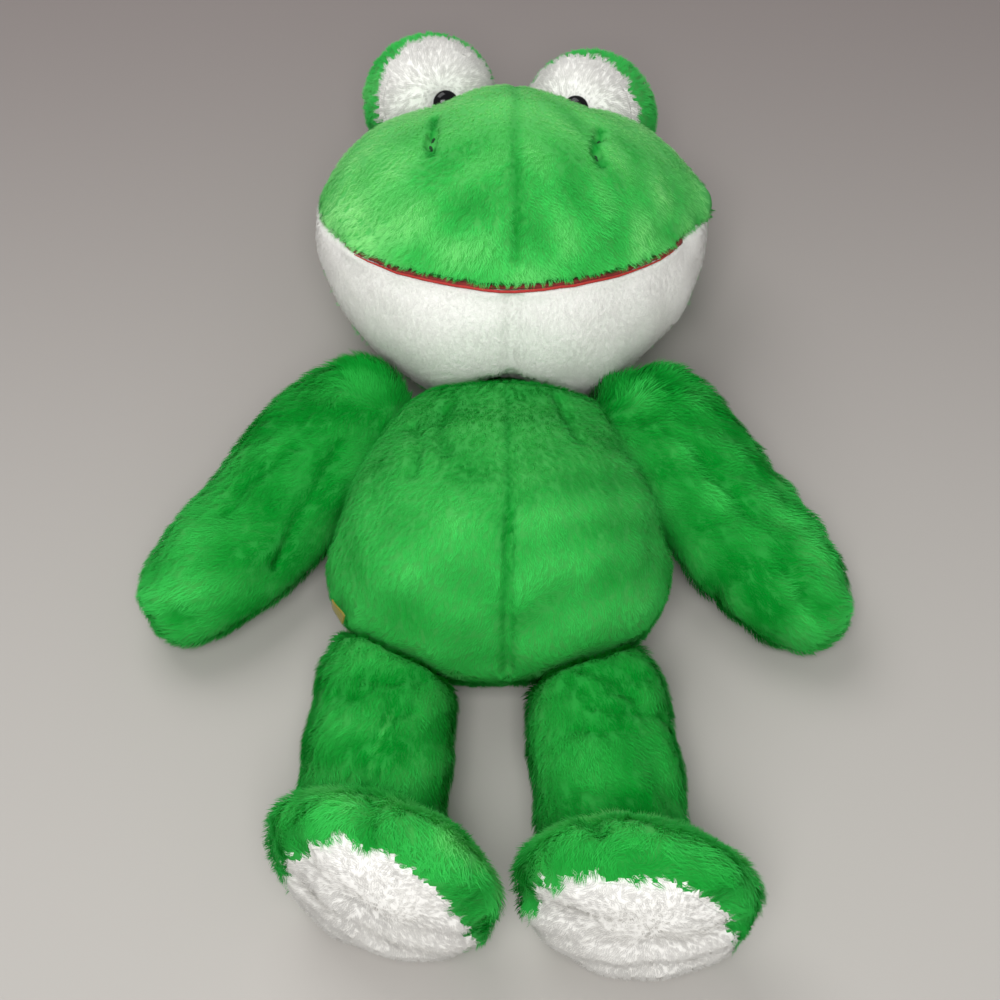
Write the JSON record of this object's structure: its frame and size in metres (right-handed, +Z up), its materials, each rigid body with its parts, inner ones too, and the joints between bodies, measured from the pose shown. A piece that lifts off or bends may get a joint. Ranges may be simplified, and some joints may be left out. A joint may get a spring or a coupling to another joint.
{
  "type": "plush frog",
  "caption": "Stuffed plush frog lying on its back, with round eye bumps, a wide smiling mouth, white jaw and soles, and limbs that fold at neck, shoulders, hips and ankles.",
  "frame": {"origin": "on the floor, under the middle of the toy's bounding box", "axes": "+X towards the frog's own left hand, +Y towards the crown of the head, +Z up out of the belly"},
  "size_m": [0.2964, 0.452, 0.1207],
  "materials": {
    "green_pile": "long green pile",
    "white_pile": "long white pile",
    "red_cloth": "smooth short pile",
    "fibre_fill": "loose polyester fibre",
    "black_plastic": "polished",
    "washer_plastic": "moulded",
    "green_thread": "spun thread",
    "gold_satin": "satin weave"
  },
  "bodies": {
    "torso": {"torso_skin": "green_pile", "torso_stuffing": "fibre_fill", "side_tag": "gold_satin"},
    "head": {"head_upper_skin": "green_pile", "jaw_skin": "white_pile", "head_stuffing": "fibre_fill", "mouth_lining": "red_cloth", "left_nostril_stitch": "green_thread", "right_nostril_stitch": "green_thread", "left_eye_hood": "green_pile", "left_eye_white": "white_pile", "left_eye": "black_plastic", "left_eye_washer": "washer_plastic", "left_eye_stuffing": "fibre_fill", "right_eye_hood": "green_pile", "right_eye_white": "white_pile", "right_eye": "black_plastic", "right_eye_washer": "washer_plastic", "right_eye_stuffing": "fibre_fill"},
    "left_arm": {"left_arm_skin": "green_pile", "left_arm_stuffing": "fibre_fill"},
    "left_leg": {"left_leg_skin": "green_pile", "left_leg_stuffing": "fibre_fill"},
    "left_foot": {"left_foot_upper": "green_pile", "left_foot_sole": "white_pile", "left_foot_stuffing": "fibre_fill"},
    "right_arm": {"right_arm_skin": "green_pile", "right_arm_stuffing": "fibre_fill"},
    "right_leg": {"right_leg_skin": "green_pile", "right_leg_stuffing": "fibre_fill"},
    "right_foot": {"right_foot_upper": "green_pile", "right_foot_sole": "white_pile", "right_foot_stuffing": "fibre_fill"}
  },
  "joints": [
    {"name": "neck_nod", "type": "hinge", "parent": "torso", "child": "head", "pos_m": [0.00481, 0.00999, 0.034], "axis": [1, 0, 0], "range_deg": [-12, 12]},
    {"name": "left_shoulder_swing", "type": "hinge", "parent": "torso", "child": "left_arm", "pos_m": [0.06006, -0.00501, 0.039], "axis": [0.3184, -0.9479, 0], "range_deg": [-15, 50]},
    {"name": "right_shoulder_swing", "type": "hinge", "parent": "torso", "child": "right_arm", "pos_m": [-0.05644, -0.00501, 0.039], "axis": [0.3184, 0.9479, 0], "range_deg": [-15, 50]},
    {"name": "left_hip_fold", "type": "hinge", "parent": "torso", "child": "left_leg", "pos_m": [0.03981, -0.10101, 0.053], "axis": [-1, 0, 0], "range_deg": [0, 75]},
    {"name": "right_hip_fold", "type": "hinge", "parent": "torso", "child": "right_leg", "pos_m": [-0.04319, -0.10101, 0.053], "axis": [-1, 0, 0], "range_deg": [0, 75]},
    {"name": "left_ankle_flex", "type": "hinge", "parent": "left_leg", "child": "left_foot", "pos_m": [0.04632, -0.18375, 0.03], "axis": [-0.9969, -0.0785, 0], "range_deg": [-15, 15]},
    {"name": "right_ankle_flex", "type": "hinge", "parent": "right_leg", "child": "right_foot", "pos_m": [-0.04907, -0.17578, 0.03], "axis": [-0.9969, 0.0785, 0], "range_deg": [-15, 15]}
  ]
}
